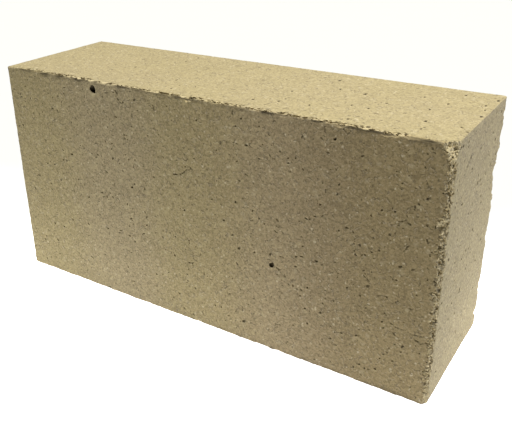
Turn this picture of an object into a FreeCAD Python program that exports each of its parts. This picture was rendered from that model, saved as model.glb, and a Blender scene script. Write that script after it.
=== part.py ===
import FreeCAD, Part
import math
import os
from collections import namedtuple

from FreeCAD import Vector

# A refractory firebrick: one block of dense fireclay, pressed in a box mould and fired.
# It stands on its long narrow side. X runs along its length, the front face is at -Y,
# Z is up, and the origin is the centre of the face it stands on. All sizes are in millimetres.

# The pressed block
LENGTH = 250.0
THICKNESS = 76.0
HEIGHT = 124.0
ARRIS_RADIUS = 0.5

# The worn arrises: how wide each break is on the two faces that meet there
FRONT_BREAK_TOP = 3.0
FRONT_BREAK_FOOT = 1.4
TOP_BREAK_ON_TOP = 1.3
TOP_BREAK_ON_FRONT = 1.8
BACK_BREAK_ON_END = 2.6
BACK_BREAK_ON_BACK = 1.4

# The facets of a worn arris: their length, how much they differ in width, how hollow they are,
# and how the pattern of wide and narrow ones runs along each arris and across its two sides
BREAK_FACET = 7.0
BREAK_RAGGEDNESS = 0.22
BREAK_HOLLOW = 0.16
FACET_TURN = 2.4
SIDE_TURN = 1.0
FRONT_BREAK_PHASE = 0.4
TOP_BREAK_PHASE = 1.7
BACK_BREAK_PHASE = 3.1

# The knocked-off corner: how far it reaches along each of its three arrises, and how hollow it is
CORNER_ALONG_FRONT = 6.5
CORNER_ALONG_END = 9.5
CORNER_DOWN = 12.0
CORNER_HOLLOW = 0.9

# Chips along an arris: distance from the left end or from the top, half length, depth
Chip = namedtuple("Chip", "place reach depth")
NOTCH_TOP_FRONT = Chip(124.5, 2.6, 1.7)
CHIP_TOP_FRONT = Chip(204.0, 5.0, 1.3)
CHIP_BY_CORNER = Chip(224.0, 5.5, 1.4)
CHIP_BACK_HIGH = Chip(34.0, 13.0, 3.2)
CHIP_BACK_MIDDLE = Chip(69.0, 8.0, 2.3)
CHIP_BACK_LOW = Chip(116.5, 3.5, 2.4)

# Blow holes that open on the front face: distance from the left end, distance below the top, radius
Pore = namedtuple("Pore", "from_left below_top radius")
PORE_UNDER_TOP = Pore(63.5, 3.9, 1.8)
PORE_MIDDLE = Pore(170.4, 75.6, 1.4)

# How far the cutting shapes stand out of the block
OVERRUN = 4.0

ALONG = Vector(1, 0, 0)
BACKWARD = Vector(0, 1, 0)
UP = Vector(0, 0, 1)


def corner_point(side, depth, level):
    """Corner of the sharp block: side -1 left or 1 right, depth -1 front or 1 back, level 0 foot or 1 top."""
    return Vector(side * LENGTH / 2, depth * THICKNESS / 2, level * HEIGHT)


def pressed_block():
    """The block as it leaves the mould, with the slight rounding that every sound arris has."""
    block = Part.makeBox(LENGTH, THICKNESS, HEIGHT, corner_point(-1, -1, 0))
    return block.makeFillet(ARRIS_RADIUS, block.Edges)


def ragged(station, phase):
    """Factor that makes neighbouring facets of a break differ."""
    return 1 + BREAK_RAGGEDNESS * math.sin(FACET_TURN * station + phase)


def break_section(point, into_a, into_b, width_a, width_b):
    """Outline of what breaks off at one point of an arris, with a hollow in its broken side."""
    edge_a = point + into_a * width_a
    edge_b = point + into_b * width_b
    middle = (edge_a + edge_b) / 2
    hollow = point + (middle - point) * (1 + BREAK_HOLLOW)
    past_a = edge_a + (edge_a - hollow).normalize() * OVERRUN
    past_b = edge_b + (edge_b - hollow).normalize() * OVERRUN
    outside = point - (into_a + into_b) * 2 * OVERRUN
    return [past_a, hollow, past_b, outside]


def faceted_solid(sections):
    """Closed solid of flat facets through a row of outlines with as many points each."""
    sides = len(sections[0])
    facets = [Part.Face(Part.makePolygon(end + end[:1])) for end in (sections[0], sections[-1])]
    for near, far in zip(sections, sections[1:]):
        for i in range(sides):
            j = (i + 1) % sides
            for corners in ((near[i], near[j], far[j]), (near[i], far[j], far[i])):
                facets.append(Part.Face(Part.makePolygon([*corners, corners[0]])))
    solid = Part.Solid(Part.Shell(facets))
    if solid.Volume < 0:
        solid.reverse()
    return solid


def broken_arris(start, end, into_a, into_b, widths_start, widths_end, phase):
    """What is missing along an arris: the widths change evenly from start to end, and each facet differs."""
    run = end - start
    count = math.ceil(run.Length / BREAK_FACET)
    along = run * (1 / run.Length)
    sections = []
    for station in range(count + 1):
        share = station / count
        width_a, width_b = [a + (b - a) * share for a, b in zip(widths_start, widths_end)]
        point = start + run * share
        if station == 0:
            point = point - along * OVERRUN
        if station == count:
            point = point + along * OVERRUN
        width_a = width_a * ragged(station, phase)
        width_b = width_b * ragged(station, phase + SIDE_TURN)
        sections.append(break_section(point, into_a, into_b, width_a, width_b))
    return faceted_solid(sections)


def shell_chip(point, outward, chip):
    """Shell-shaped flake struck off at a point of an arris."""
    radius = (chip.reach ** 2 + chip.depth ** 2) / (2 * chip.depth)
    return Part.makeSphere(radius, point + outward.normalize() * (radius - chip.depth))


def knocked_corner(corner, reaches):
    """Round-hollowed flake off a corner, through the end of each of its three reaches along the arrises."""
    a, b, c = [corner + reach for reach in reaches]
    rim = Part.Circle(a, b, c)
    normal = (b - a).cross(c - a).normalize()
    if normal.dot(corner - a) < 0:
        normal = normal * -1
    radius = (rim.Radius ** 2 + CORNER_HOLLOW ** 2) / (2 * CORNER_HOLLOW)
    return Part.makeSphere(radius, rim.Center + normal * (radius - CORNER_HOLLOW))


def worn_arrises():
    """The three arrises that have crumbled over their whole length."""
    front_right = broken_arris(
        corner_point(1, -1, 1), corner_point(1, -1, 0), -ALONG, BACKWARD,
        (FRONT_BREAK_TOP, FRONT_BREAK_TOP), (FRONT_BREAK_FOOT, FRONT_BREAK_FOOT), FRONT_BREAK_PHASE)
    top_front_widths = (TOP_BREAK_ON_TOP, TOP_BREAK_ON_FRONT)
    top_front = broken_arris(
        corner_point(-1, -1, 1), corner_point(1, -1, 1), BACKWARD, -UP,
        top_front_widths, top_front_widths, TOP_BREAK_PHASE)
    back_right_widths = (BACK_BREAK_ON_BACK, BACK_BREAK_ON_END)
    back_right = broken_arris(
        corner_point(1, 1, 1), corner_point(1, 1, 0), -ALONG, -BACKWARD,
        back_right_widths, back_right_widths, BACK_BREAK_PHASE)
    return [front_right, top_front, back_right]


def chips():
    """The flakes struck off along the top front arris and down the back right one."""
    top_left = corner_point(-1, -1, 1)
    back_top = corner_point(1, 1, 1)
    top_front = [shell_chip(top_left + ALONG * chip.place, UP - BACKWARD, chip)
                 for chip in (NOTCH_TOP_FRONT, CHIP_TOP_FRONT, CHIP_BY_CORNER)]
    back_right = [shell_chip(back_top - UP * chip.place, ALONG + BACKWARD, chip)
                  for chip in (CHIP_BACK_HIGH, CHIP_BACK_MIDDLE, CHIP_BACK_LOW)]
    return top_front + back_right


def pores():
    """Round blow holes, half sunk in the front face."""
    top_left = corner_point(-1, -1, 1)
    return [Part.makeSphere(pore.radius, top_left + ALONG * pore.from_left - UP * pore.below_top)
            for pore in (PORE_UNDER_TOP, PORE_MIDDLE)]


def firebrick():
    """The whole brick: the pressed block less everything that has broken off it."""
    corner = knocked_corner(
        corner_point(1, -1, 1),
        [-ALONG * CORNER_ALONG_FRONT, BACKWARD * CORNER_ALONG_END, -UP * CORNER_DOWN])
    return pressed_block().cut(worn_arrises() + [corner] + chips() + pores())


os.makedirs("parts", exist_ok=True)
brick = firebrick().Solids[0]
brick.exportStep("parts/firebrick.step")
print("firebrick", "valid", brick.isValid(), "volume cm3", round(brick.Volume / 1000, 1), "faces", len(brick.Faces))
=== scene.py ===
# %% [markdown]
# # A refractory firebrick
# The brick is one block of dense fireclay, pressed in a box mould and fired. Nothing is screwed or glued
# to it, so the whole lesson is about one surface: how flat faces, crumbled arrises, pores, cracks and
# grain make a plain block look fired and handled. The packed solid gives the size, and every step below
# works inward from it, so that the dressed brick never outgrows the solid.

# %% Load the packed brick
import itertools
import math
from collections import namedtuple

import bpy
import numpy as np
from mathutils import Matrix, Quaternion, Vector


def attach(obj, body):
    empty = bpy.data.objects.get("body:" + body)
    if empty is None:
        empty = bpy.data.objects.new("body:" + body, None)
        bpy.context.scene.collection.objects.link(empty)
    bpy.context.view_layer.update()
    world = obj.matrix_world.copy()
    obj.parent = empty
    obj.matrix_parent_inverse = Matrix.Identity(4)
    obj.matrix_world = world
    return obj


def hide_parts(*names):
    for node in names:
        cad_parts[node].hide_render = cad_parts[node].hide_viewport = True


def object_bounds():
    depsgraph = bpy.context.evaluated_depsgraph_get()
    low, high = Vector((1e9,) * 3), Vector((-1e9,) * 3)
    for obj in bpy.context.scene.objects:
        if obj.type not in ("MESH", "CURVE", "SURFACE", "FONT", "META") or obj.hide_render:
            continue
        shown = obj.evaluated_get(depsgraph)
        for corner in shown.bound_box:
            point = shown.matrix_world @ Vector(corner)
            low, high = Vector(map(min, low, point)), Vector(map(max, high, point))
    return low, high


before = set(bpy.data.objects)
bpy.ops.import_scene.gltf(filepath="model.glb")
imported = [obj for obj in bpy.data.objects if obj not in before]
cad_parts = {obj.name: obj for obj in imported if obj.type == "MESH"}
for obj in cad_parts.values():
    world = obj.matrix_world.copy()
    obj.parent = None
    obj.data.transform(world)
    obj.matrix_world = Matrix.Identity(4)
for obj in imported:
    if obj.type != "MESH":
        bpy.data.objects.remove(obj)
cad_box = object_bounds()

MM = 0.001
low, high = [np.array(corner) / MM for corner in cad_box]
LENGTH, THICKNESS, HEIGHT = high - low
print("brick", (high - low).round(1), "mm, nodes", len(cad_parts))

# %% [markdown]
# ## The camera
# The photograph was taken from above the right end of the front face with a short telephoto view. The
# place and the angles come from fitting a box of the brick's size to the edges in the picture. The
# picture was cropped after it was taken, so its optical centre is off the middle of the frame, and the
# lens is shifted by that much and no more.

# %% Set up the camera
PHOTO_WIDTH, PHOTO_HEIGHT = 512, 422
OPTICAL_CENTRE_PX = (226.9, 195.1)
FOCAL_PX = 703.1
SENSOR_MM = 36.0
NEAREST_SEEN = 0.01
CAMERA_AT_MM = (191.8, -290.9, 216.5)
CAMERA_AZIMUTH, CAMERA_ELEVATION, CAMERA_ROLL = 34.09, 24.19, -1.22


def backward_of(azimuth, elevation):
    """Direction from the brick to a viewer: azimuth 0 stands in front of the brick, 90 at its right end."""
    a, e = math.radians(azimuth), math.radians(elevation)
    return Vector((math.sin(a) * math.cos(e), -math.cos(a) * math.cos(e), math.sin(e)))


def add_to_scene(name, data):
    """New object that holds a lens, a mesh or a lamp."""
    held = bpy.data.objects.new(name, data)
    bpy.context.scene.collection.objects.link(held)
    return held


lens = bpy.data.cameras.new("photo_lens")
lens.sensor_width = SENSOR_MM
lens.lens = FOCAL_PX * SENSOR_MM / PHOTO_WIDTH
lens.shift_x = (PHOTO_WIDTH / 2 - OPTICAL_CENTRE_PX[0]) / PHOTO_WIDTH
lens.shift_y = (OPTICAL_CENTRE_PX[1] - PHOTO_HEIGHT / 2) / PHOTO_WIDTH
lens.clip_start = NEAREST_SEEN
camera = add_to_scene("photo_camera", lens)
camera.location = Vector(CAMERA_AT_MM) * MM
camera.rotation_mode = "QUATERNION"
level_view = backward_of(CAMERA_AZIMUTH, CAMERA_ELEVATION).to_track_quat("Z", "Y")
camera.rotation_quaternion = level_view @ Quaternion((0, 0, 1), math.radians(CAMERA_ROLL))
bpy.context.scene.camera = camera
print("lens", round(lens.lens, 2), "mm, shift", round(lens.shift_x, 4), round(lens.shift_y, 4))

# %% [markdown]
# ## Random fields
# Fired clay is irregular at every scale, so most steps need a random number that changes smoothly from
# place to place, or a number for each grain. Blender has such textures for its shaders, but here the
# shape itself needs them, so two small fields are written with arrays: a smooth one, and one made of
# cells that stand for grains. Each takes a seed, so that the brick comes out the same on every run.

# %% A smooth field
LATTICE = 64


def ramp(values, start, end):
    """0 at start, 1 at end and smooth between."""
    share = np.clip((values - start) / (end - start), 0, 1)
    return share * share * (3 - 2 * share)


def soft_field(points, size, seed):
    """Smooth random number from -1 to 1 at each point, with blobs about size millimetres across."""
    table = np.random.default_rng(seed).uniform(-1, 1, (LATTICE,) * 3)
    place = points / size
    cell = np.floor(place).astype(int)
    share = place - cell
    share = share * share * (3 - 2 * share)
    total = np.zeros(len(points))
    for corner in itertools.product((0, 1), repeat=3):
        weight = np.prod(np.where(corner, share, 1 - share), axis=1)
        total += weight * table[tuple(((cell + corner) % LATTICE).T)]
    return total


sample_line = np.linspace((0, 0, 0), (100, 0, 0), 400)
sample_values = soft_field(sample_line, 10.0, 1)
print("smooth field on a line", sample_values.min().round(2), "to", sample_values.max().round(2))

# %% A field of grains


def grain_field(points, size, seed):
    """Of the grain nearest to each point: how far off its middle is, its own number, its facet's lean."""
    rng = np.random.default_rng(seed)
    middle = rng.random((LATTICE, LATTICE, LATTICE, 3))
    slant = rng.normal(size=(LATTICE, LATTICE, LATTICE, 3))
    number = rng.random((LATTICE,) * 3)
    place = points / size
    cell = np.floor(place).astype(int)
    nearest = np.full(len(points), np.inf)
    own = np.zeros(len(points))
    lean = np.zeros(len(points))
    for step in itertools.product((-1, 0, 1), repeat=3):
        index = tuple(((cell + step) % LATTICE).T)
        away = place - cell - step - middle[index]
        distance = np.linalg.norm(away, axis=1)
        nearer = distance < nearest
        nearest[nearer] = distance[nearer]
        own[nearer] = number[index][nearer]
        lean[nearer] = (away * slant[index]).sum(1)[nearer]
    return nearest, own, lean


print("grains met on the same line", len(np.unique(grain_field(sample_line, 10.0, 1)[1])))

# %% [markdown]
# ## The pressed surface
# The brick starts as the bare surface of the block: six grids of small squares that share their points
# along the arrises, and that are smallest beside them. There are far more squares than the finished mesh
# can afford. The shape is carved with them first, and the flat parts are thinned out at the end, so that
# the detail goes where there is something to see.

# %% Space the points
ARRIS_BAND, ARRIS_PITCH, FACE_PITCH = 8.0, 0.25, 0.32
LEFT, RIGHT, FRONT, BACK, FOOT, TOP = faces = [(axis, side) for axis in range(3) for side in (0, 1)]


def side_marks(start, end):
    """Places of the points along one side of the block, closer together near its two arrises."""
    near = np.arange(0, ARRIS_BAND, ARRIS_PITCH)
    inner_start, inner_end = start + ARRIS_BAND, end - ARRIS_BAND
    inner = np.linspace(inner_start, inner_end, round((inner_end - inner_start) / FACE_PITCH) + 1)
    return np.concatenate([start + near, inner, (end - near)[::-1]])


def face_axes(face):
    """The two axes that a face lies along."""
    return [axis for axis in range(3) if axis != face[0]]


marks = [side_marks(low[axis], high[axis]) for axis in range(3)]
counts = [len(line) for line in marks]
print("points along the length, thickness and height", counts)

# %% Number the points
key_steps = np.array([counts[1] * counts[2], counts[2], 1])


def face_keys(face):
    """Number of each point of a face, the same number wherever two faces share the point."""
    u, v = face_axes(face)
    axis, side = face
    fixed = key_steps[axis] * (counts[axis] - 1) * side
    rows = key_steps[u] * np.arange(counts[u])[:, None]
    columns = key_steps[v] * np.arange(counts[v])[None, :]
    return fixed + rows + columns


keys, owner = np.unique(np.concatenate([face_keys(face).ravel() for face in faces]), return_inverse=True)
steps_along = [keys // key_steps[0], keys // key_steps[1] % counts[1], keys % counts[2]]
block = np.stack([marks[axis][steps_along[axis]] for axis in range(3)], 1)

point_of = {}
first = 0
for face in faces:
    grid = face_keys(face).shape
    point_of[face] = owner[first:first + grid[0] * grid[1]].reshape(grid)
    first += grid[0] * grid[1]
print("carving mesh", len(block), "points")

# %% Join the points into squares


def face_squares(face):
    """Corners of a face's squares, in the order that turns the face outward."""
    p = point_of[face]
    corners = np.stack([p[:-1, :-1], p[1:, :-1], p[1:, 1:], p[:-1, 1:]], -1).reshape(-1, 4)
    axis, side = face
    outward = (side == 1) != (axis == 1)
    return corners if outward else corners[:, ::-1]


squares = np.concatenate([face_squares(face) for face in faces])
print("carving mesh", len(squares), "squares")

# %% [markdown]
# ## Carving rays
# Wear can only take clay away. Each point therefore slides inward along its own ray, which starts from a
# smaller box inside the brick. On a face the ray is square to it, and near an arris it turns towards the
# arris, so a point there can move into both faces at once. A break is then a question of how far along
# its ray each point stops.

# %% Give every point its ray
CORE_INSET = 8.0
LEAST_SLOPE = 1e-6
core = np.clip(block, low + CORE_INSET, high - CORE_INSET)
ray = block - core
reach = np.linalg.norm(ray, axis=1)
ray = ray / reach[:, None]


def to_face(points, face):
    """Distance inward from one face of the block."""
    axis, side = face
    return high[axis] - points[:, axis] if side else points[:, axis] - low[axis]


def stop_at_plane(near, widths):
    """Ray length at which a flat break stops some points. widths says how deep it starts below each face."""
    inside = -1.0
    slope = 0.0
    for face, width in widths.items():
        axis, side = face
        inside = inside + to_face(core[near], face) / width
        slope = slope + np.maximum(ray[near, axis] if side else -ray[near, axis], 0) / width
    return inside / np.maximum(slope, LEAST_SLOPE)


print("rays from", reach.min().round(2), "to", reach.max().round(2), "mm long")

# %% [markdown]
# ## Crumbled arrises
# Pressed clay is weakest along its arrises. On this brick the front right one has crumbled from top to
# foot, the back right one has a few flat flakes off it, the top front one is a thin lip with notches, and
# the others are nearly sharp. A bevel modifier would give them all one even width. So each arris gets a
# flat break of its own, whose reach on its two faces wanders along it, and three numbers for a later
# step: how much the lumps and the crumbs roughen the break, and how clean the broken clay is.

# %% Describe a break
Rough = namedtuple("Rough", "lumpy crumbly clean")
WANDER_SWELLS = [(0.50, 11.0), (0.60, 3.8), (0.40, 1.4)]
WANDER_LINE = (3.7, 1.9)
LEAST_WANDER = 0.2
FLAKE_SQUARENESS = 5


def wander(places, seed):
    """Random widening of a break along its arris, about 1 on average."""
    line = np.stack([places, np.full_like(places, WANDER_LINE[0]), np.full_like(places, WANDER_LINE[1])], 1)
    width = 1.0
    for step, (amount, length) in enumerate(WANDER_SWELLS):
        width = width + amount * soft_field(line, length, seed + step)
    return np.clip(width, LEAST_WANDER, None)


def flake(places, middle, half_length, width):
    """Extra width where a flake has come off an arris."""
    return width * np.clip(1 - np.abs((places - middle) / half_length) ** FLAKE_SQUARENESS, 0, None)


def flakes(places, rows):
    """Extra width of several flakes. Each row gives a middle, a half length and a width."""
    return sum(flake(places, *row) for row in rows)


print("widening on the sample line", wander(sample_line[:, 0], 1).round(2)[::100])

# %% Give each arris its wear
FRONT_RIGHT_FLAKES = [
    (101.0, 3.5, 0.7), (90.0, 3.0, 0.8), (54.0, 5.0, 0.6),
    (36.0, 5.0, 0.4), (18.5, 2.5, 0.6), (10.0, 3.0, 0.6),
]
BACK_RIGHT_FLAKES = [
    (92.0, 7.0, 1.5), (81.0, 6.0, 0.8), (58.0, 9.0, 0.9), (8.0, 2.5, 1.2),
    (105.0, 3.5, 0.5), (70.5, 2.0, 0.5), (41.0, 5.0, 0.4), (24.0, 4.0, 0.5), (116.0, 2.0, 0.4),
]
TOP_FRONT_NOTCHES = [(-0.4, 2.2, 1.0), (78.5, 3.0, 0.5), (98.5, 4.0, 0.6)]
BEVEL_AT = 113.0


def sound_arris(places):
    """Nearly sharp: the reach on both faces, and the roughness."""
    return 0.38, 0.38, Rough(lumpy=0.0, crumbly=0.12, clean=0.2)


def foot_arris(places):
    """Rubbed a little rounder by what the brick stood on."""
    return 0.65, 0.65, Rough(lumpy=0.0, crumbly=0.12, clean=0.0)


def front_right_arris(heights):
    """Crumbled all the way, wider towards the top, with flakes off the front."""
    share = np.clip(heights / HEIGHT, 0, 1)
    on_end = 1.4 + 0.9 * share ** 0.7
    on_front = 1.3 + 0.3 * share + flakes(heights, FRONT_RIGHT_FLAKES)
    return on_end, on_front, Rough(lumpy=0.45 + 0.25 * share, crumbly=1.8, clean=1.0)


def top_front_arris(across):
    """Thin lip with three notches, and a small bevel beside the knocked-off corner."""
    notch = flakes(across, TOP_FRONT_NOTCHES)
    bevel = flake(across, BEVEL_AT, 8.5, 1.0)
    on_front = 0.8 + 0.9 * notch + 0.9 * bevel
    on_top = 0.7 + 1.8 * notch + 0.6 * bevel
    return on_front, on_top, Rough(lumpy=0.0, crumbly=0.2 + 0.8 * notch, clean=0.1)


def back_right_arris(heights):
    """Flat flakes that reach further onto the end than onto the back."""
    lost = flakes(heights, BACK_RIGHT_FLAKES)
    return 0.7 + 3.0 * lost, 0.45 + lost, Rough(lumpy=0.1, crumbly=0.7, clean=0.4)


worn = {(RIGHT, FRONT): front_right_arris, (FRONT, TOP): top_front_arris, (RIGHT, BACK): back_right_arris}
print("worn arrises", [arris.__name__ for arris in worn.values()])

# %% Break the arrises
ARRIS_ZONE = 15.0
ARRIS_SEED, SEEDS_PER_REACH = 40, 3
breaks = []
pairs = [pair for pair in itertools.combinations(faces, 2) if pair[0][0] != pair[1][0]]
for number, (a, b) in enumerate(pairs):
    near = np.flatnonzero((to_face(block, a) < ARRIS_ZONE) & (to_face(block, b) < ARRIS_ZONE))
    along = block[near, 3 - a[0] - b[0]]
    arris = worn.get((a, b), foot_arris if FOOT in (a, b) else sound_arris)
    on_a, on_b, rough = arris(along)
    seed = ARRIS_SEED + 2 * SEEDS_PER_REACH * number
    on_a = on_a * wander(along, seed)
    on_b = on_b * wander(along, seed + SEEDS_PER_REACH)
    breaks.append((near, stop_at_plane(near, {a: on_b, b: on_a}), rough))
print("broken arrises", len(worn), "of", len(pairs))

# %% [markdown]
# ## Knocked corners
# The corner where the front, the right end and the top meet has been struck off. The blow took most of
# the height and least of the length, so the break is a plane with three different reaches, and not a
# rounded corner. The corner below it and the one at the back are only blunted.

# %% Break the corners
LOST_CORNERS = [
    ({RIGHT: 5.0, FRONT: 7.0, TOP: 10.5}, Rough(lumpy=0.8, crumbly=1.3, clean=1.0)),
    ({RIGHT: 2.6, FRONT: 2.6, FOOT: 2.2}, Rough(lumpy=0.0, crumbly=0.2, clean=0.0)),
    ({RIGHT: 1.3, BACK: 1.3, TOP: 1.1}, Rough(lumpy=0.0, crumbly=0.3, clean=0.2)),
]
for reaches, rough in LOST_CORNERS:
    around = [to_face(block, face) < 2 * ARRIS_ZONE for face in reaches]
    near = np.flatnonzero(np.all(around, axis=0))
    breaks.append((near, stop_at_plane(near, reaches), rough))
print("blunted corners", len(LOST_CORNERS))

# %% [markdown]
# ## Grains in the breaks
# Broken fireclay is not smooth: it parts around the grains of burnt clay that were mixed in, so each lump
# shows a facet with its own slant and depth, and crevices open between them. Plain noise would look like
# melted wax. The flat breaks are therefore roughened by two sizes of grain, large ones for lumps and
# small ones for crumbs.

# %% Find the grains
LUMP, CRUMB = 3.0, 1.1
LUMP_SEED, CRUMB_SEED = 11, 12
DISHED, STEPPED, LEANING = 0.22, 0.18, 0.32
GAP_START, GAP_FULL = 0.55, 0.80
LOOSE_DEPTH = 2.5

flat_stop = np.full(len(block), np.inf)
for near, lengths, _ in breaks:
    flat_stop[near] = np.minimum(flat_stop[near], lengths)
loose = np.flatnonzero(flat_stop < reach + LOOSE_DEPTH)
flat_breaks = core[loose] + ray[loose] * np.minimum(flat_stop, reach)[loose, None]


def grains_in_breaks(size, seed):
    """Depth of the facets of grains of a size in millimetres, and the gaps between them from 0 to 1."""
    distance, own, lean = grain_field(flat_breaks, size, seed)
    facet, gap = np.zeros(len(block)), np.zeros(len(block))
    facet[loose] = np.clip(size * (DISHED * distance ** 2 + STEPPED * own + LEANING * lean), 0, None)
    gap[loose] = ramp(distance, GAP_START, GAP_FULL)
    return facet, gap


lumps, lump_gaps = grains_in_breaks(LUMP, LUMP_SEED)
crumbs, crumb_gaps = grains_in_breaks(CRUMB, CRUMB_SEED)
print("lumps up to", lumps.max().round(2), "mm deep, crumbs up to", crumbs.max().round(2), "mm deep")

# %% Roughen the breaks
stop = np.full(len(block), np.inf)
clean = np.zeros(len(block))
crumble = np.zeros(len(block))
for near, lengths, rough in breaks:
    grainy = rough.lumpy * lumps[near] + rough.crumbly * crumbs[near]
    deeper = lengths - grainy < stop[near]
    clean[near] = np.where(deeper, rough.clean, clean[near])
    crumble[near] = np.where(deeper, grainy, crumble[near])
    stop[near] = np.minimum(stop[near], lengths - grainy)
print("points near a break", len(loose), "roughest", crumble.max().round(2), "mm")

# %% [markdown]
# ## Flat faces
# The die leaves the faces flat but not perfect: they sag a little between the arrises, and coarse grains
# stand out by less than a tenth of a millimetre. All faces start a little below the solid, so that
# nothing stands proud of it. The foot stays flat, to stand on.

# %% Press the faces
FACE_INSET, LEAST_INSET, FOOT_SHARE = 0.12, 0.02, 0.1
SAG, SAG_SIZE, SAG_SEED = 0.06, 35.0, 21
COARSE, COARSE_SIZE, COARSE_SEED = 0.03, 7.0, 22
sagging = SAG * soft_field(block, SAG_SIZE, SAG_SEED)
depth = FACE_INSET - sagging - COARSE * soft_field(block, COARSE_SIZE, COARSE_SEED)
depth = np.clip(depth, LEAST_INSET, None)
depth[point_of[FOOT]] *= FOOT_SHARE
pore_shade = np.zeros(len(block))
chipped_and_highlight = np.zeros(len(block))
print("faces pressed in by", depth.min().round(3), "to", depth.max().round(3), "mm")

# %% [markdown]
# ## Crumbled fringes
# The front face runs nearly clean up to its top and right arrises, but behind those the top and the end
# have crumbled over a few millimetres. Small pits are sunk there wherever a random field is high, and the
# clay between them is left as light crumbs. The fringes could be painted, but pits catch the light from
# any side.

# %% Crumble the fringes
PIT_DEPTH = 1.2
PIT_SIZES = (1.1, 0.65)
FRINGE_START = (0.1, 0.7)
PITS_AT, CRUMBS_AT = (-0.15, 0.45), (0.0, 0.4)


def fringe(face, start, end, reach_in, dark, light, seed):
    """Pits and crumbs on a face behind the front. They set in between two places along the arris."""
    ids = point_of[face].ravel()
    along = block[ids, 0 if face == TOP else 2]
    behind = to_face(block[ids], FRONT)
    limit = reach_in * wander(along, seed)
    band = ramp(behind, *FRINGE_START) * (1 - ramp(behind, 0.5 * limit, limit)) * ramp(along, start, end)
    if face == TOP:
        band = band * (1 - flake(along, BEVEL_AT, 9.0, 0.8))
    coarse = soft_field(block[ids], PIT_SIZES[0], seed + 3)
    grain = coarse + 0.7 * soft_field(block[ids], PIT_SIZES[1], seed + 4)
    pits = band * ramp(grain, *PITS_AT)
    depth[ids] += PIT_DEPTH * pits
    # the pits are also darkened with painted shade
    pore_shade[ids] = dark * pits
    chipped_and_highlight[ids] = light * band * ramp(-grain, *CRUMBS_AT)
    return pits


top_pits = fringe(TOP, start=-124, end=-105, reach_in=3.9, dark=0.50, light=0.45, seed=91)
end_pits = fringe(RIGHT, start=-10, end=30, reach_in=3.6, dark=0.46, light=0.9, seed=101)
print("fringe pits", (top_pits > 0.3).sum(), "on the top", (end_pits > 0.3).sum(), "on the end")

# %% [markdown]
# ## Painted shade on the lip and the foot
# A thin streaky line of painted shade runs along the top front arris, under the lip, and painted shade lies
# on the small bevel beside the corner and along the foot of the front. It has no thickness, so it is only a
# mark on the points, which the finish later darkens. In a few places the lip has crumbled since, and clean
# crumbs show through the painted shade.

# %% Mark the painted shade
LIP_SHADE, LIP_STREAK, LIP_SEED = 0.85, 6.0, 96
LIP_FADE, LIP_SETS_IN = (0.4, 1.3), (-124, -110)
BEVEL_FADE = (1.1, 1.9)
FOOT_SHADE, FOOT_FADE, FOOT_SETS_IN = 0.5, (0.3, 1.2), (-70, 20)
painted_edge_shade = np.zeros(len(block))
lip_points = np.unique(np.concatenate([point_of[FRONT].ravel(), point_of[TOP].ravel()]))
off_lip = to_face(block[lip_points], FRONT) + to_face(block[lip_points], TOP)
along_lip = block[lip_points, 0]
streaky = 0.65 + 0.6 * soft_field(block[lip_points] * [1, 0, 0], LIP_STREAK, LIP_SEED)
# painted shade: a streaky dark line along the top front arris, under the lip
lip_shade = LIP_SHADE * streaky * (1 - ramp(off_lip, *LIP_FADE)) * ramp(along_lip, *LIP_SETS_IN)
# painted shade on the small bevel beside the knocked-off corner
bevel_shade = flake(along_lip, BEVEL_AT, 8.0, 0.6) * (1 - ramp(off_lip, *BEVEL_FADE))
painted_edge_shade[lip_points] = np.maximum(lip_shade, bevel_shade)

front_points = point_of[FRONT].ravel()
across, up = block[front_points, 0], block[front_points, 2]
# painted shadow along the foot of the front, where it stands on the table
foot_shade = FOOT_SHADE * (1 - ramp(up, *FOOT_FADE)) * ramp(across, *FOOT_SETS_IN)
painted_edge_shade[front_points] = np.maximum(painted_edge_shade[front_points], foot_shade)
print("shaded points", (painted_edge_shade > 0.3).sum())

# %% Clear the crumbs of the lip
LIP_CRUMBS = [
    (-71.0, 1.6), (-63.0, 2.2), (-53.6, 2.2), (-23.3, 1.5),
    (-20.0, 1.6), (-3.6, 2.0), (88.0, 2.2), (103.0, 1.8),
]
CRUMB_BEHIND, CRUMB_REACH = 1.0, 1.3
CRUMB_LIGHT, CRUMB_FULL, CRUMB_FILL = 0.8, 1.4, 0.8
top_points = point_of[TOP].ravel()
behind_lip = to_face(block[top_points], FRONT)
for middle, size in LIP_CRUMBS:
    away = np.hypot((block[top_points, 0] - middle) / size, (behind_lip - CRUMB_BEHIND) / CRUMB_REACH)
    crumb = np.clip(CRUMB_FULL - CRUMB_FULL * away ** 2, 0, 1)
    chipped_and_highlight[top_points] = np.maximum(chipped_and_highlight[top_points], CRUMB_LIGHT * crumb)
    pore_shade[top_points] *= 1 - crumb
    painted_edge_shade[top_points] *= 1 - crumb
    depth[top_points] *= 1 - CRUMB_FILL * crumb
print("crumbs on the lip", len(LIP_CRUMBS))

# %% [markdown]
# ## Pores
# Gas leaves pores in fired clay. Cutting each one out with a boolean would be slow and would tangle the
# mesh, so a pore is stamped into the depths of the points as a round dent, or as two that overlap. Each
# dent also takes painted shade inside it, and its lower lip takes a painted highlight in the colour of
# clean clay. The pores below stand where they can be told apart on the real brick.

# %% Stamp the blow holes
# The first number is the strength of the painted highlight on a dent's lower lip.
LIP_HIGHLIGHT, DARK_FLOOR = 0.7, 1.5
BLOW_HOLE_STEEP, BLOW_HOLE_DARK = 12.0, 6.0
BLOW_HOLES = [
    (-61.2, 120.6, 1.5, 3.5), (-61.0, 119.7, 1.7, 3.5), (-61.9, 119.9, 1.3, 3.0), (-60.4, 118.9, 1.0, 2.5),
    (45.2, 48.3, 1.15, 1.1), (45.8, 48.9, 0.9, 0.9),
]


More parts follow.
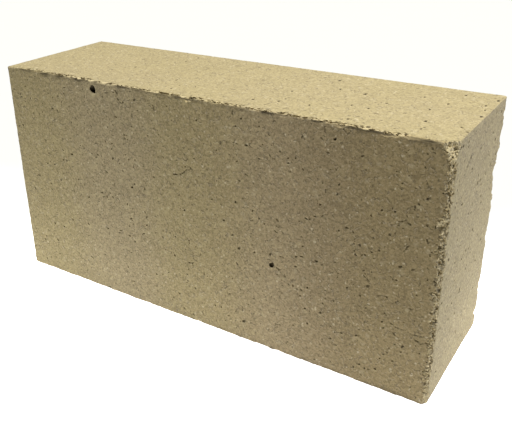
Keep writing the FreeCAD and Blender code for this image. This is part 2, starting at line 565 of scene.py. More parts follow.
def dent(face, u, v, radius, deep, dark, steep=2.0):
    """Round dent in a face, at u and v millimetres along its two axes, with painted shade in it and a
    painted highlight on its lower lip.
    """
    axes = face_axes(face)
    windows = []
    for axis, middle in zip(axes, (u, v)):
        windows.append(slice(*np.searchsorted(marks[axis], (middle - 2 * radius, middle + 2 * radius))))
    ids = point_of[face][windows[0], windows[1]]
    away_u = marks[axes[0]][windows[0]][:, None] - u
    away_v = marks[axes[1]][windows[1]][None, :] - v
    away = np.hypot(away_u, away_v) / radius
    bowl = np.clip(1 - away ** steep, 0, None)
    lip = np.clip(1 - np.hypot(away_u, away_v + radius) / radius, 0, None)
    depth[ids] = np.maximum(depth[ids], (FACE_INSET + deep) * bowl)
    # painted shade inside the dent
    pore_shade[ids] = np.maximum(pore_shade[ids], dark * np.minimum(DARK_FLOOR * bowl, 1))
    # painted highlight on the lower lip of the dent, in the colour of clean clay
    chipped_and_highlight[ids] = np.maximum(chipped_and_highlight[ids], LIP_HIGHLIGHT * min(dark, 1.0) * lip)


for x, z, radius, deep in BLOW_HOLES:
    dent(FRONT, x, z, radius, deep, BLOW_HOLE_DARK, BLOW_HOLE_STEEP)
print("dents of the two blow holes", len(BLOW_HOLES), "deepest", depth.max().round(1), "mm")

# %% Stamp the spots of the front
SPOTS = [
    (-39.8, 69.7, 0.8, 1.0), (-82.0, 80.0, 0.85, 0.9), (-31.3, 49.6, 0.7, 0.8), (-102.5, 70.5, 0.65, 0.7),
    (-96.8, 71.1, 0.6, 0.6), (75.1, 117.3, 0.9, 0.9), (28.9, 118.8, 0.7, 0.7), (116.2, 99.7, 0.7, 0.8),
    (97.7, 90.3, 0.7, 0.7), (103.3, 91.0, 0.6, 0.7), (79.0, 75.8, 0.6, 0.6), (97.8, 71.5, 0.6, 0.6),
    (94.7, 69.6, 0.55, 0.6), (101.7, 36.7, 0.7, 0.7), (111.5, 24.2, 0.6, 0.6), (102.2, 17.1, 0.6, 0.6),
    (26.4, 97.7, 0.55, 0.6), (15.0, 100.9, 0.55, 0.6), (53.3, 104.5, 0.6, 0.6), (34.9, 74.5, 0.6, 0.6),
    (41.2, 69.3, 0.55, 0.6), (69.4, 85.9, 0.7, 0.7), (61.6, 63.2, 0.6, 0.6), (84.3, 48.5, 0.6, 0.7),
    (-101.5, 54.4, 0.6, 0.5), (-94.7, 66.2, 0.6, 0.4), (-51.2, 92.0, 0.6, 0.6), (-63.8, 81.7, 0.6, 0.5),
    (-95.3, 32.1, 0.6, 0.5), (-75.9, 31.4, 0.6, 0.5), (-42.3, 87.6, 0.6, 0.4), (82.5, 78.2, 0.7, 0.6),
    (98.3, 84.5, 0.5, 0.5), (90.4, 67.0, 0.6, 0.5), (73.7, 43.6, 0.6, 0.5), (79.7, 54.6, 0.5, 0.5),
    (94.0, 52.5, 1.2, 0.55), (26.8, 52.2, 1.1, 0.65), (29.2, 10.7, 1.2, 0.7), (-63.4, 0.8, 1.0, 0.8),
]
MAIN_SHARE, MAIN_DARK = 0.74, 1.1
SIDE_SHARE, SIDE_DEEP, SIDE_DARK = 0.6, 0.7, 0.8
SIDE_X, SIDE_Z = 0.5, 0.4
for x, z, radius, deep in SPOTS:
    dent(FRONT, x, z, MAIN_SHARE * radius, deep, dark=min(1.0, MAIN_DARK * deep))
    beside, over = x + SIDE_X * radius, z + SIDE_Z * radius
    dent(FRONT, beside, over, SIDE_SHARE * radius, SIDE_DEEP * deep, dark=SIDE_DARK * deep)
print("spots on the front", len(SPOTS))

# %% Stamp the pores of the end and the top
END_PORES = [
    (-3.0, 42.6, 1.3), (-3.3, 41.4, 1.2), (25.9, 106.5, 1.4), (19.5, 111.6, 1.1), (1.0, 110.4, 1.1),
    (31.2, 97.9, 1.2), (3.6, 93.5, 1.3), (-18.2, 91.8, 1.1), (16.6, 92.8, 0.9), (-9.1, 104.3, 0.9),
    (-19.8, 119.9, 1.0), (-19.5, 117.7, 0.9), (15.2, 79.5, 1.0), (-1.1, 80.8, 1.0), (6.1, 69.4, 1.1),
    (17.7, 61.7, 1.0), (3.5, 60.8, 1.0), (-5.0, 61.7, 0.9), (-27.3, 95.7, 0.9), (-17.9, 75.0, 0.9),
    (-27.5, 120.4, 1.1), (2.3, 50.8, 0.9), (18.9, 39.3, 0.9), (-6.8, 60.2, 0.9), (20.5, 46.6, 0.9),
    (-15.8, 51.1, 0.9), (-14.5, 41.3, 0.9), (-21.9, 44.0, 0.9), (-12.4, 25.0, 0.8), (-26.1, 11.3, 0.9),
]
TOP_PORES = [
    (-61.2, -3.6, 0.8), (-65.6, -7.0, 0.5), (-68.7, -14.3, 0.5), (-24.7, -14.4, 0.7), (-37.7, -4.0, 0.5),
    (-44.4, 20.0, 0.7), (-43.3, 30.5, 0.8), (-17.5, -28.2, 0.6), (47.3, 25.0, 1.0), (68.0, 9.0, 1.0),
    (82.1, 0.1, 0.7), (78.1, -11.1, 0.7), (76.5, -28.9, 0.8), (93.3, 17.6, 0.6), (101.5, 0.5, 0.7),
    (105.3, -15.6, 0.9), (105.7, 12.7, 0.8), (107.0, -26.0, 0.6), (108.4, 29.9, 0.8), (120.7, 17.9, 0.8),
    (122.2, 11.4, 0.6), (123.6, 28.0, 0.9), (123.4, 1.7, 0.9), (35.9, -3.3, 0.7), (27.0, -24.3, 0.8),
    (39.5, -16.1, 0.6), (54.4, 10.9, 0.7), (53.5, -19.4, 0.7), (69.7, -10.2, 0.6), (38.8, -21.4, 0.6),
]
NOTCH_PITS = [(0.7, -36.3, 1.5, 1.2), (1.6, -36.0, 1.2, 1.0)]
END_SHARE, TOP_SHARE, TOP_SPLIT = 0.72, 0.85, 0.6
PORE_DEEP, PORE_DARK, NOTCH_DARK = 0.8, 1.1, 0.75
for y, z, radius in END_PORES:
    dent(RIGHT, y, z, END_SHARE * radius, PORE_DEEP * radius, dark=PORE_DARK * radius)
for x, y, radius in TOP_PORES:
    for shift in (-TOP_SPLIT, TOP_SPLIT):
        dent(TOP, x, y + shift * radius, TOP_SHARE * radius, PORE_DEEP * radius, dark=PORE_DARK)
for x, y, radius, deep in NOTCH_PITS:
    dent(TOP, x, y, radius, deep, dark=NOTCH_DARK)
print("pores on the end", len(END_PORES), "on the top", len(TOP_PORES), "in the notch", len(NOTCH_PITS))

# %% [markdown]
# ## Cracks
# Fine cracks run round the larger grains, because clay and grain shrink by different amounts. A crack is
# a row of small dents along a bent line. It opens and closes on its way, which a line of one width would
# not show. These are the cracks that can be told apart, with a long faint one low on the right of the
# front.

# %% Draw the cracks
CRACKS = [
    [(48.2, 47.8), (50.1, 47.1), (50.9, 48.1)], [(50.4, 46.0), (52.6, 44.0)], [(-75.6, 17.8), (-73.8, 17.1)],
    [(-45.6, 121.6), (-44.2, 119.4)], [(-44.6, 117.2), (-42.9, 115.6), (-41.6, 114.9)],
    [(24.7, 122.8), (24.2, 121.5), (24.6, 120.0)], [(70.3, 122.5), (70.4, 119.9)],
    [(82.0, 122.5), (81.0, 120.6)],
    [(117.1, 32.9), (119.9, 31.9), (123.4, 33.0)], [(107.1, 33.1), (108.3, 32.0)],
    [(104.9, 87.1), (106.7, 87.5), (108.3, 88.5), (110.3, 86.7)], [(91.8, 57.4), (94.5, 55.2)],
    [(110.6, 77.5), (108.6, 74.1)], [(84.9, 70.3), (86.5, 71.5), (87.7, 70.6)], [(82.0, 78.0), (83.2, 78.4)],
    [(112.7, 66.4), (113.9, 67.2)], [(107.2, 48.7), (108.0, 49.7)], [(113.5, 47.9), (114.5, 46.9)],
    [(102.7, 41.5), (103.7, 40.8)], [(91.8, 38.7), (93.1, 38.1)],
    [(98.6, 49.1), (101.0, 50.4), (103.1, 50.0)], [(-11.3, 83.2), (-5.6, 84.7), (-3.2, 87.2), (0.2, 88.4)],
]
LONG_CRACK = [(104.8, 38.1), (108.2, 36.2), (112.8, 36.1), (116.2, 35.1), (120.4, 35.6), (124.6, 36.0)]
TOP_CRACK = [(120.4, -15.8), (123.3, -19.2), (124.4, -20.6)]
DENT_SPACING, WIDTH_SPACING = 0.25, 0.7
NARROWEST, CRACK_SHAKE, CRACK_DARK = 0.15, 0.12, 0.7
CLOSED_SHARE, OPEN_SHARE = 0.6, 0.6
scatter = np.random.default_rng(5)


def crack(face, line, radius, deep):
    """Row of dents along a bent line. The crack opens and closes on its way and is never quite straight."""
    line = np.array(line, float)
    for start, end in zip(line[:-1], line[1:]):
        length = np.hypot(*(end - start))
        shares = np.linspace(0, 1, max(2, int(length / DENT_SPACING)))
        knots = max(3, int(length / WIDTH_SPACING) + 1)
        widths = np.interp(shares, np.linspace(0, 1, knots), scatter.uniform(NARROWEST, 1, knots))
        for share, width in zip(shares, widths):
            place = start + (end - start) * share + scatter.normal(0, CRACK_SHAKE, 2)
            opened = radius * (CLOSED_SHARE + OPEN_SHARE * width)
            dent(face, *place, opened, deep * width, dark=CRACK_DARK * width)


for line in CRACKS:
    crack(FRONT, line, radius=0.45, deep=0.5)
crack(FRONT, LONG_CRACK, radius=0.42, deep=0.3)
crack(TOP, TOP_CRACK, radius=0.55, deep=0.7)
print("cracks", len(CRACKS) + 2)

# %% [markdown]
# ## Scattered pores and cracks
# Between the marks that can be told apart there are many smaller ones. Nobody knows them one by one, so
# they are scattered at the density that each face shows, in short bent chains, with the same two stamps
# as above. The hidden faces get a like number.

# %% Scatter the small pores and cracks
PORES_PER_CM2 = {FRONT: 2.8, BACK: 2.0, TOP: 0.8, FOOT: 0.4, LEFT: 1.8, RIGHT: 1.8}
PORE_SCALE = {FRONT: 1.0, BACK: 1.0, TOP: 1.0, FOOT: 1.0, LEFT: 1.35, RIGHT: 1.35}
CRACKS_PER_CM2 = {FRONT: 0.28, BACK: 0.20, TOP: 0.06, FOOT: 0.0, LEFT: 0.10, RIGHT: 0.05}
SMALLEST_PORE, PORE_SPREAD = 0.30, 0.32
PORE_DARKS, PORE_RADII, PORE_DEPTHS = (0.2, 0.85), (0.7, 1.1), (0.4, 1.2)
PORE_LINKS, PORE_STRIDE, PORE_BEND = (0, 4), 0.35, 1.0
CRACK_LINKS, CRACK_STRIDE, CRACK_BEND = (1, 5), 0.8, 0.6
CRACK_RADIUS, CRACK_DEPTHS = 0.36, (0.15, 0.4)
SCATTER_MARGIN = 1.5
MM2_PER_CM2 = 100


def random_place(face):
    """Random point of a face, a little in from its arrises."""
    start, end = low + SCATTER_MARGIN, high - SCATTER_MARGIN
    return [scatter.uniform(start[axis], end[axis]) for axis in face_axes(face)]


def random_line(start, steps, stride, bend):
    """Bent line of equal steps from a start, in a random direction."""
    line = [np.array(start)]
    heading = scatter.uniform(0, 2 * math.pi)
    for _ in range(steps):
        heading += scatter.normal(0, bend)
        line.append(line[-1] + stride * np.array([math.cos(heading), math.sin(heading)]))
    return line


small_pores, small_cracks = 0, 0
for face in faces:
    u, v = face_axes(face)
    area = (high[u] - low[u]) * (high[v] - low[v]) / MM2_PER_CM2
    for _ in range(int(area * PORES_PER_CM2[face])):
        size = PORE_SCALE[face] * (SMALLEST_PORE + PORE_SPREAD * scatter.random() ** 3)
        dark = scatter.uniform(*PORE_DARKS)
        for place in random_line(random_place(face), scatter.integers(*PORE_LINKS), PORE_STRIDE, PORE_BEND):
            radius = size * scatter.uniform(*PORE_RADII)
            dent(face, *place, radius, size * scatter.uniform(*PORE_DEPTHS), dark)
        small_pores += 1
    for _ in range(int(area * CRACKS_PER_CM2[face])):
        line = random_line(random_place(face), scatter.integers(*CRACK_LINKS), CRACK_STRIDE, CRACK_BEND)
        crack(face, line, CRACK_RADIUS, scatter.uniform(*CRACK_DEPTHS))
        small_cracks += 1
print("scattered pores", small_pores, "and cracks", small_cracks)

# %% [markdown]
# ## Carving
# Now every point knows how deep the face lies below it and where a break would stop its ray, and it takes
# the deeper of the two. The same numbers say what the finish needs: where the clay is freshly broken or
# takes a painted highlight, and where it takes painted shade, in a crevice, a pore, on the lip or along the
# foot.

# %% Carve the brick
SURELY_BROKEN = 0.15
LUMP_GAP_DARK, CRUMB_GAP_DARK, DEEP_DARK = 0.42, 0.30, 0.5
DEEP_START, DEEP_FULL = 1.5, 2.6
sound = reach * (1 - depth / CORE_INSET)
carved = core + ray * np.minimum(sound, stop)[:, None]
broken = ramp(sound - stop, 0.0, SURELY_BROKEN)
# clean broken clay and light crumbs, with the painted highlight on the lower lips of dents
fresh = np.maximum(broken * clean, chipped_and_highlight * (1 - pore_shade))
# painted shade in the crevices between grains of the breaks and where they crumble deepest
grain_gap_shade = np.maximum(LUMP_GAP_DARK * lump_gaps, CRUMB_GAP_DARK * crumb_gaps)
crevice_shade = broken * clean * np.maximum(grain_gap_shade, DEEP_DARK * ramp(crumble, DEEP_START, DEEP_FULL))
# all painted shade: in crevices, pores, pits and cracks, on the lip, the bevel and the foot
hollow = np.maximum(np.maximum(crevice_shade, painted_edge_shade), pore_shade * (1 - broken))
print("deepest break", (reach - stop).max().round(2), "mm, freshly broken points", (fresh > 0.5).sum())

# %% [markdown]
# ## The finished mesh
# The carving mesh has far more squares than a part should carry. Blender's Decimate takes away the points
# that change the shape least, so flat clay ends up with few triangles and the broken arrises keep theirs.
# Each point keeps two marks for the finish: how freshly broken it is, with the painted highlight on the
# lower lips of dents, and how much painted shade it takes in a hollow or along the lip and the foot.

# %% Build the carving mesh
dense = bpy.data.meshes.new("firebrick_carving")
dense.vertices.add(len(carved))
dense.vertices.foreach_set("co", (carved * MM).astype(np.float32).ravel())
dense.loops.add(squares.size)
dense.loops.foreach_set("vertex_index", squares.ravel().astype(np.int32))
dense.polygons.add(len(squares))
dense.polygons.foreach_set("loop_start", np.arange(0, squares.size, 4, dtype=np.int32))
for label, values in (("fresh", fresh), ("hollow", hollow)):
    dense.attributes.new(label, "FLOAT", "POINT").data.foreach_set("value", values.astype(np.float32))
dense.update(calc_edges=True)
print("dense mesh", len(dense.vertices), "points", len(dense.polygons), "squares")

# %% Thin the mesh
TRIANGLES = 197_000
SHARP_FROM = 32
brick = add_to_scene("firebrick_worn", dense)
thin = brick.modifiers.new("thin_out", "DECIMATE")
thin.ratio = TRIANGLES / (2 * len(squares))
clay_mesh = bpy.data.meshes.new_from_object(brick.evaluated_get(bpy.context.evaluated_depsgraph_get()))
brick.modifiers.clear()
brick.data = clay_mesh
bpy.data.meshes.remove(dense)
clay_mesh.name = "firebrick_worn"
clay_mesh.shade_smooth()
clay_mesh.set_sharp_from_angle(angle=math.radians(SHARP_FROM))
clay_mesh.calc_loop_triangles()
print("finished mesh", len(clay_mesh.vertices), "points", len(clay_mesh.loop_triangles), "triangles")

# %% [markdown]
# ## A flat map of the brick
# The finish is worked out from each point's place in the brick, so it needs no map. A map is still of use
# to whoever bakes the finish into pictures. Each triangle is laid on the face of the box that it looks
# towards, and the six faces lie side by side on one square sheet.

# %% Unfold the six faces
SHEET = 410.0
SHEET_CORNER = {
    FRONT: (0, 0), BACK: (0, 126), TOP: (0, 252), FOOT: (0, 330),
    LEFT: (252, 0), RIGHT: (252, 126),
}


def read(collection, name, kind, width=1):
    """Array of one value of every item in a mesh collection."""
    values = np.empty(len(collection) * width, kind)
    collection.foreach_get(name, values)
    return values.reshape(-1, width) if width > 1 else values


normals = read(clay_mesh.polygons, "normal", np.float32, 3)
facing = np.abs(normals).argmax(1)
outer_side = (normals[np.arange(len(normals)), facing] > 0).astype(int)
face_of_corner = np.repeat(facing * 2 + outer_side, read(clay_mesh.polygons, "loop_total", np.int32))
point_of_corner = read(clay_mesh.loops, "vertex_index", np.int32)
corner_places = read(clay_mesh.vertices, "co", np.float32, 3)[point_of_corner] / MM
sheet = np.zeros((len(corner_places), 2), np.float32)
for number, face in enumerate(faces):
    mine = face_of_corner == number
    for column, axis in enumerate(face_axes(face)):
        sheet[mine, column] = (corner_places[mine, axis] - low[axis] + SHEET_CORNER[face][column]) / SHEET
clay_mesh.uv_layers.new(name="OFBake").data.foreach_set("uv", sheet.ravel())
print("sheet filled to", sheet.max(0).round(3))

# %% [markdown]
# ## Into the frame
# The carved brick stands for the solid that was loaded, which stays hidden underneath for weight and
# contact. Nothing on a brick moves, so it rides on the one body that there is.

# %% Hand the brick to the frame
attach(brick, "root")
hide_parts("firebrick")
print(brick.name, "takes the place of the packed solid")

# %% [markdown]
# ## Shader arithmetic
# A procedural finish is a sum of many small effects. Adding each node by hand hides the sum, so one small
# class wraps a socket and lets Python's own operators add the maths nodes.

# %% Wrap the sockets


class Tone:
    """One socket of a finish. Arithmetic on it adds the nodes that do the same sum."""
    nodes = None
    links = None

    def __init__(self, socket):
        self.socket = socket

    @classmethod
    def start(cls, material, constants):
        """Let the nodes that follow go into a material. Returns its main shader, with its constants set."""
        material.use_nodes = True
        cls.nodes, cls.links = material.node_tree.nodes, material.node_tree.links
        shader = cls.nodes["Principled BSDF"]
        for name, value in constants.items():
            shader.inputs[name].default_value = value
        return shader

    @classmethod
    def node(cls, kind, settings, inputs, output=0):
        """Any node: its settings first, then the values or links of its sockets."""
        made = cls.nodes.new(kind)
        for name, value in settings.items():
            setattr(made, name, value)
        for name, value in inputs.items():
            if isinstance(value, Tone):
                cls.links.new(value.socket, made.inputs[name])
            else:
                made.inputs[name].default_value = value
        return cls(made.outputs[output])

    def feed(self, shader, name):
        """Link to one socket of a shader."""
        self.links.new(self.socket, shader.inputs[name])

    def other(self, output):
        """Another output of the same node."""
        return Tone(self.socket.node.outputs[output])

    def sum_with(self, operation, first, second):
        """Math node for two values, in their order."""
        return self.node("ShaderNodeMath", {"operation": operation}, {0: first, 1: second})

    def __add__(self, other):
        return self.sum_with("ADD", self, other)

    def __radd__(self, other):
        return self.sum_with("ADD", other, self)

    def __sub__(self, other):
        return self.sum_with("SUBTRACT", self, other)

    def __rsub__(self, other):
        return self.sum_with("SUBTRACT", other, self)

    def __mul__(self, other):
        return self.sum_with("MULTIPLY", self, other)

    def __rmul__(self, other):
        return self.sum_with("MULTIPLY", other, self)

    def between(self, start, end):
        """0 at start, 1 at end and smooth between."""
        settings = {"interpolation_type": "SMOOTHSTEP"}
        return self.node("ShaderNodeMapRange", settings, {"Value": self, "From Min": start, "From Max": end})

    def tinted(self, colour, amount):
        """This colour, mixed towards another by an amount from 0 to 1."""
        settings = {"data_type": "RGBA"}
        return self.node("ShaderNodeMix", settings, {"Factor": amount, 6: self, 7: colour}, 2)

    def dimmed(self, amount):
        """This colour times a number."""
        return self.node("ShaderNodeVectorMath", {"operation": "SCALE"}, {0: self, "Scale": amount})


print("a Tone offers", [name for name in vars(Tone) if not name.startswith("_")])

# %% [markdown]
# ## The fireclay: what it is mixed from
# Fireclay is sand, clay and grog, which is old firebrick ground small, with a little iron. All of it is
# found from the point's place in the brick in millimetres, so the grain runs through the block and has no
# seam. Noise stands for sand, and Voronoi cells, bent by a little noise, stand for grains and for the
# fine lines round them.

# %% Start the fireclay
WOBBLE_SIZE, WOBBLE_REACH = 1.6, 2.0
DULL_GLOSS = 0.25
clay = bpy.data.materials.new("fireclay")
clay_shader = Tone.start(clay, {"Specular IOR Level": DULL_GLOSS})
clay_mesh.materials.clear()
clay_mesh.materials.append(clay)
spot_m = Tone.node("ShaderNodeTexCoord", {}, {}, "Object")
spot = Tone.node("ShaderNodeVectorMath", {"operation": "SCALE"}, {0: spot_m, "Scale": 1 / MM})
wobble_inputs = {"Vector": spot, "Scale": 1 / WOBBLE_SIZE, "Detail": 2.0}
wobble = Tone.node("ShaderNodeTexNoise", {}, wobble_inputs, "Color")
ragged_inputs = {0: wobble, 1: (WOBBLE_REACH,) * 3, 2: spot}
ragged = Tone.node("ShaderNodeVectorMath", {"operation": "MULTIPLY_ADD"}, ragged_inputs)


def drift(size, detail=2.0):
    """Smooth noise about 0 in the clay, with blobs of a size in millimetres."""
    return Tone.node("ShaderNodeTexNoise", {}, {"Vector": spot, "Scale": 1 / size, "Detail": detail}) - 0.5


def hairlines(size, width, at=ragged):
    """Thin lines round ragged grains of a size in millimetres."""
    inputs = {"Vector": at, "Scale": 1 / size}
    from_edge = Tone.node("ShaderNodeTexVoronoi", {"feature": "DISTANCE_TO_EDGE"}, inputs, "Distance")
    return 1.0 - from_edge.between(0.0, width / size)


def cells_of(size):
    """Distance from the middle of each ragged cell, in cell sizes, and two numbers of the cell's own."""
    distance = Tone.node("ShaderNodeTexVoronoi", {}, {"Vector": ragged, "Scale": 1 / size}, "Distance")
    first_number = Tone.node("ShaderNodeSeparateColor", {}, {"Color": distance.other("Color")}, "Red")
    return distance, first_number, first_number.other("Green")


def grains_of(size, picked, rim):
    """Grains in the cells whose number passes a soft limit, with a soft rim, and a second number of each."""
    distance, first_number, second_number = cells_of(size)
    return first_number.between(*picked) * (1.0 - distance.between(*rim)), second_number


def mark(name):
    """One of the two marks that the carving left on the points."""
    return Tone.node("ShaderNodeAttribute", {"attribute_name": name}, {}, "Fac")


print("nodes that place the clay", len(Tone.nodes))

# %% Sort the grains
sand = drift(1.0, 3.0)
pitting = drift(1.2, 3.0)
pits = pitting.between(0.12, 0.20)
flecks = (0.0 - pitting).between(0.12, 0.20)
grit_tone = cells_of(0.9)[1] - 0.5
grog, grog_tone = grains_of(1.6, picked=(0.76, 0.80), rim=(0.12, 0.42))
soft_grog, _ = grains_of(4.6, picked=(0.5, 0.6), rim=(0.05, 0.36))
speck, speck_tone = grains_of(1.3, picked=(0.76, 0.80), rim=(0.10, 0.38))
iron, iron_tone = grains_of(3.2, picked=(0.56, 0.60), rim=(0.08, 0.25))
print("nodes with the grains", len(Tone.nodes))

# %% Open the fine cracks
CRAZE_SIZE, CRAZE_WIDTH = 4.2, 0.36
# how far the painted highlight under each fine crack is moved down, in millimetres
CRACK_HIGHLIGHT_DROP = (0, 0, 0.5)
fresh_clay = mark("fresh")
broken_up = drift(2.4)
open_craze = broken_up.between(0.02, 0.10)
above = Tone.node("ShaderNodeVectorMath", {"operation": "ADD"}, {0: ragged, 1: CRACK_HIGHLIGHT_DROP})
craze = open_craze * hairlines(CRAZE_SIZE, CRAZE_WIDTH)
# painted highlight: the fine cracks copied a little lower, as a lighter line under each one
crack_highlight = open_craze * hairlines(CRAZE_SIZE, CRAZE_WIDTH, above)
# painted shade in the gaps between crumbs of broken clay
crumb_gap_shade = fresh_clay * hairlines(0.95, 0.30)
print("nodes with the cracks", len(Tone.nodes))

# %% [markdown]
# ## The fireclay: its colour
# The clay is a warm yellow grey. On the front it drifts between an olive and a greyer tone in broad
# bands, and towards the right it grows redder, while painted shade makes it darker towards the right and
# the top. The top has a calmer grain and fired lighter towards the right. Over that come lighter grog, a
# painted highlight under each fine crack, yellow clean breaks with a painted highlight on the lower lip of
# each dent, dark iron specks, and last painted shade between crumbs, in the hollows, on the lip and along
# the foot. The layers are mixed in that order, so that the painted shade lies on top.

# %% Tone the skin
OLIVE = (0.352, 0.290, 0.151, 1)
TAUPE = (0.352, 0.288, 0.168, 1)
RUSSET = (0.420, 0.286, 0.165, 1)
BAND_LENGTH, TAUPE_BAND_AT = 108.0, 56.0
FRONT_SKIN_DEEP, TOP_SKIN_DEEP, SKIN_FULL = 4.0, 3.0, 0.5
along_brick = Tone.node("ShaderNodeSeparateXYZ", {}, {"Vector": spot}, "X")
above_foot = along_brick.other("Z")
front_skin = along_brick.other("Y").between(low[1] + FRONT_SKIN_DEEP, low[1] + SKIN_FULL)
top_skin = above_foot.between(high[2] - TOP_SKIN_DEEP, high[2] - SKIN_FULL)

band_turn = (along_brick - TAUPE_BAND_AT) * (2 * math.pi / BAND_LENGTH)
bands = Tone.node("ShaderNodeMath", {"operation": "COSINE"}, {0: band_turn})
taupe_share = (0.8 * front_skin * bands + drift(45.0)).between(-0.9, 0.9)
colour = Tone.node("ShaderNodeMix", {"data_type": "RGBA"}, {"Factor": taupe_share, 6: OLIVE, 7: TAUPE}, 2)
colour = colour.tinted(RUSSET, 0.24 * front_skin * along_brick.between(-50.0, 110.0))

patches = 0.16 * drift(16.0) + 0.22 * broken_up
grainy_light = patches + 0.75 * sand + 0.42 * grit_tone
calm = 1.0 - 0.30 * top_skin
fired = top_skin * (0.12 * along_brick.between(low[0], high[0]) - 0.05)
colour = colour.dimmed(1.0 + fired + calm * grainy_light)
print("nodes with the skin", len(Tone.nodes))

# %% Lay the colours over it
# The first colour is painted shade: a dark brown that darkens the front towards the right and the top.
FRONT_SHADE = (0.140, 0.105, 0.045, 1)
# The grog colour is also the colour of the painted highlight under the fine cracks.
GROG_AND_HIGHLIGHT = (0.580, 0.500, 0.340, 1)
FRESH_AND_HIGHLIGHT = (0.740, 0.620, 0.365, 1)
IRON = (0.085, 0.063, 0.036, 1)
SHADE = (0.045, 0.034, 0.018, 1)
# painted shade on the front, darker towards the right and towards the top
front_shade = front_skin * (0.24 * along_brick.between(40.0, 85.0) + 0.06 * above_foot.between(20.0, 110.0))
layers = [
    (FRONT_SHADE, front_shade),
    (GROG_AND_HIGHLIGHT, 0.30 * soft_grog),
    (GROG_AND_HIGHLIGHT, 0.35 * flecks),
    (IRON, 0.35 * pits),
    (GROG_AND_HIGHLIGHT, 0.90 * grog_tone * grog),
    # painted highlight under the fine cracks
    (GROG_AND_HIGHLIGHT, 0.35 * crack_highlight),
    # clean broken clay, and the painted highlight on the lower lips of dents
    (FRESH_AND_HIGHLIGHT, 0.85 * fresh_clay),
    (IRON, 0.55 * craze),
    (IRON, 0.75 * speck_tone * speck),
    (IRON, 0.75 * iron_tone * iron),
    # painted shade between crumbs
    (SHADE, 0.30 * crumb_gap_shade),
    # last the painted shade in the hollows and along the lip and the foot
    (SHADE, 0.92 * mark("hollow").between(0.0, 1.0)),
]
for tint, amount in layers:
    colour = colour.tinted(tint, amount)
colour.feed(clay_shader, "Base Color")
print("layers of colour", len(layers))

# %% [markdown]
# ## The fireclay: its surface
# Fired clay is dull all over, and only the sand changes that a little. The pores and breaks are real
# shape, but single grains of sand are smaller than the mesh, so they are left to a bump.

# %% Dull and roughen the clay
SAND_RELIEF = 0.26 * MM
roughness = 0.93 - 0.12 * sand
roughness.feed(clay_shader, "Roughness")
relief = sand + 0.8 * drift(2.2)
bump = Tone.node("ShaderNodeBump", {}, {"Height": relief, "Strength": 1.0, "Distance": SAND_RELIEF})
bump.feed(clay_shader, "Normal")
print("fireclay finished with", len(Tone.nodes), "nodes")

# %% [markdown]
# ## Floor
# The brick stands on a white light table. The table glows softly round the foot of the brick, most of all
# in front on the left and beside the right end, so the lower parts of the brick are brighter than its
# upper parts. Lamps hidden under the table could do that, but a glow in its finish has no edges.

# %% Lay the light table
TABLE_HALF = 6.0
TABLE_WHITE = (0.57, 0.57, 0.57, 1)
table_corners = [(x * TABLE_HALF, y * TABLE_HALF, 0) for x, y in ((-1, -1), (1, -1), (1, 1), (-1, 1))]
table_mesh = bpy.data.meshes.new("light_table")
table_mesh.from_pydata(table_corners, [], [(0, 1, 2, 3)])
table = add_to_scene("light_table", table_mesh)
opal = bpy.data.materials.new("opal_glass")
table_mesh.materials.append(opal)
opal_values = {"Base Color": TABLE_WHITE, "Specular IOR Level": 0.0, "Emission Strength": 1.0}
table_shader = Tone.start(opal, opal_values)
print("table", 2 * TABLE_HALF, "m wide")

# %% Let the table glow
ROUND_GLOW, LEFT_GLOW, FRONT_GLOW, RIGHT_GLOW = 1.3, 1.22, 0.52, 2.2
GLOW_MARGIN = 0.09
on_table = Tone.node("ShaderNodeTexCoord", {}, {}, "Object")


def lamp_under(x, y, radius):
    """Soft round glow of a lamp under the table, in metres."""
    away = Tone.node("ShaderNodeVectorMath", {"operation": "DISTANCE"}, {0: on_table, 1: (x, y, 0)}, "Value")
    return away.between(radius, 0.0)


def beside_brick(width):
    """Soft glow all round the brick's foot, in metres."""
    half = (LENGTH * MM / 2, THICKNESS * MM / 2, 1.0)
    size = Tone.node("ShaderNodeVectorMath", {"operation": "ABSOLUTE"}, {0: on_table})
    over = Tone.node("ShaderNodeVectorMath", {"operation": "SUBTRACT"}, {0: size, 1: half})
    over = Tone.node("ShaderNodeVectorMath", {"operation": "MAXIMUM"}, {0: over, 1: (0, 0, 0)})
    return Tone.node("ShaderNodeVectorMath", {"operation": "LENGTH"}, {0: over}, "Value").between(width, 0.0)


glow = ROUND_GLOW * beside_brick(GLOW_MARGIN)
glow = glow + LEFT_GLOW * lamp_under(-0.21, -0.13, 0.22)
glow = glow + FRONT_GLOW * lamp_under(-0.03, -0.11, 0.14)
glow = glow + RIGHT_GLOW * lamp_under(0.23, 0.09, 0.17)
white_glow = Tone.node("ShaderNodeVectorMath", {"operation": "SCALE"}, {0: (1, 1, 1), "Scale": glow})
white_glow.feed(table_shader, "Emission Color")
print("table finished with", len(Tone.nodes), "nodes")

# %% [markdown]
# ## Wall
# Behind the table the photograph is plain white. A white world would do that too, but it would light the
# brick from all sides and wash out its shading. So a ring of pale paper stands round the table that only
# the camera sees: it sends no light to the brick and throws no shadow.

# %% Put up the pale wall
WALL_SIDES, WALL_RADIUS, WALL_FOOT, WALL_HEIGHT = 32, 5.8, -0.01, 6.0
turns = [2 * math.pi * number / WALL_SIDES for number in range(WALL_SIDES)]
wall_points = []
for level in (WALL_FOOT, WALL_HEIGHT):
    wall_points += [(WALL_RADIUS * math.cos(turn), WALL_RADIUS * math.sin(turn), level) for turn in turns]
wall_faces = []
for number in range(WALL_SIDES):
    after = (number + 1) % WALL_SIDES
    wall_faces.append((number, after, after + WALL_SIDES, number + WALL_SIDES))
wall_mesh = bpy.data.meshes.new("pale_wall")
wall_mesh.from_pydata(wall_points, [], wall_faces)
wall = add_to_scene("pale_wall", wall_mesh)
wall.visible_diffuse = False
wall.visible_glossy = False
wall.visible_transmission = False
wall.visible_volume_scatter = False
wall.visible_shadow = False

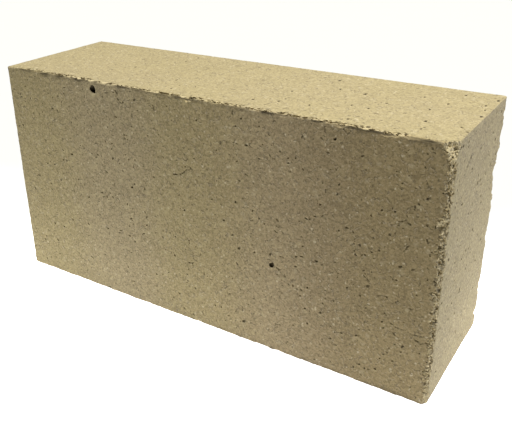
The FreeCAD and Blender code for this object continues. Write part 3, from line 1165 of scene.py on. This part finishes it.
paper = bpy.data.materials.new("pale_paper")
wall_mesh.materials.append(paper)
paper_values = {"Base Color": (0, 0, 0, 1), "Specular IOR Level": 0.0}
paper_values |= {"Emission Color": (1, 1, 1, 1), "Emission Strength": 1.0}
Tone.start(paper, paper_values)
print("wall", WALL_HEIGHT, "m high,", WALL_SIDES, "sides")

# %% [markdown]
# ## Light
# A wide softbox far overhead lights the top of the brick and the table alike, so it is a sun with a large
# angle, which has the same strength everywhere. A cooler, smaller box low on the right lights the end.
# The world adds only a breath of light, so that no shadow is quite black.

# %% Hang the lights
WORLD_LIGHT = 0.05
OVERHEAD_AT, OVERHEAD_POWER, OVERHEAD_ANGLE = (0.0, 0.5, 5.0), 5.4, 22
OVERHEAD_COLOUR = (1.0, 1.0, 0.95)
RIGHT_BOX_AT, RIGHT_BOX_POWER, RIGHT_BOX_WIDTH = (1.1, 0.2, 0.12), 3.6, 0.4
RIGHT_BOX_COLOUR = (0.60, 0.67, 1.0)
world = bpy.data.worlds.new("studio_world")
bpy.context.scene.world = world
world.use_nodes = True
background = world.node_tree.nodes["Background"]
background.inputs["Color"].default_value = (1, 1, 1, 1)
background.inputs["Strength"].default_value = WORLD_LIGHT


def hang(lamp, place):
    """Put a lamp at a place in metres, turned to the middle of the brick."""
    held = add_to_scene(lamp.name, lamp)
    held.location = place
    held.rotation_mode = "QUATERNION"
    held.rotation_quaternion = (Vector(place) - Vector((0, 0, HEIGHT * MM / 2))).to_track_quat("Z", "Y")


overhead = bpy.data.lights.new("overhead_softbox", "SUN")
overhead.energy = OVERHEAD_POWER
overhead.angle = math.radians(OVERHEAD_ANGLE)
overhead.color = OVERHEAD_COLOUR
hang(overhead, OVERHEAD_AT)

right_box = bpy.data.lights.new("right_softbox", "AREA")
right_box.shape = "DISK"
right_box.size = RIGHT_BOX_WIDTH
right_box.energy = RIGHT_BOX_POWER
right_box.color = RIGHT_BOX_COLOUR
hang(right_box, RIGHT_BOX_AT)
bpy.context.scene.view_settings.view_transform = "Standard"
print("lights", [lamp.name for lamp in bpy.data.lights])

# %% [markdown]
# ## Sizes
# The dressed brick may not be larger than the solid. The dressed brick is carved only inward, so it is
# not larger than the solid.
